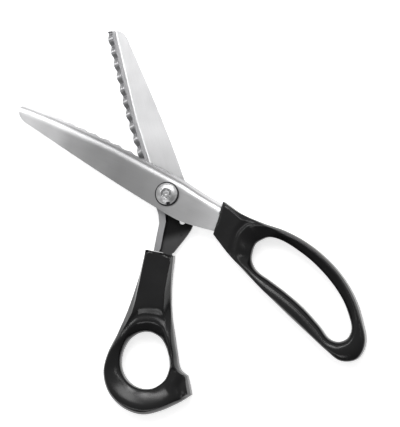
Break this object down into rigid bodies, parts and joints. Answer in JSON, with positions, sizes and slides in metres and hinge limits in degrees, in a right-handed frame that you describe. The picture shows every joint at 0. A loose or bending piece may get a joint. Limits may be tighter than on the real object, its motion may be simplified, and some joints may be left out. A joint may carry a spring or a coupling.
{
  "type": "pinking shears",
  "caption": "Pinking shears with steel blades that cut a zigzag edge, black plastic loop handles for fingers and thumb, and a bolted pivot; lying open, and opens and closes on its pivot.",
  "frame": {"origin": "on the pivot's axis, at the flat underside of the bolt head, which is level with the table that the shears lie on", "axes": "+X from the pivot to the finger blade's tip, along its row of teeth; +Z along the pivot's axis, up from the table through the bolt to the nut"},
  "size_m": [0.2293, 0.1903, 0.0147],
  "materials": {
    "satin_steel": "satin stainless steel, bright along the ground tooth facets",
    "bright_steel": "turned and polished",
    "bronze": "plain turned",
    "black_plastic": "semi-gloss moulded plastic"
  },
  "bodies": {
    "finger_half": {"finger_blade": "satin_steel", "finger_handle": "black_plastic", "pivot_bolt": "bright_steel", "pivot_nut": "bright_steel", "nut_washer": "bright_steel", "spring_washer": "satin_steel", "bearing_washer": "bronze"},
    "thumb_half": {"thumb_blade": "satin_steel", "thumb_handle": "black_plastic"}
  },
  "joints": [
    {"name": "pivot", "type": "hinge", "parent": "finger_half", "child": "thumb_half", "pos_m": [0, 0, 0.0073], "axis": [0, 0, 1], "range_deg": [-20, 37]}
  ]
}
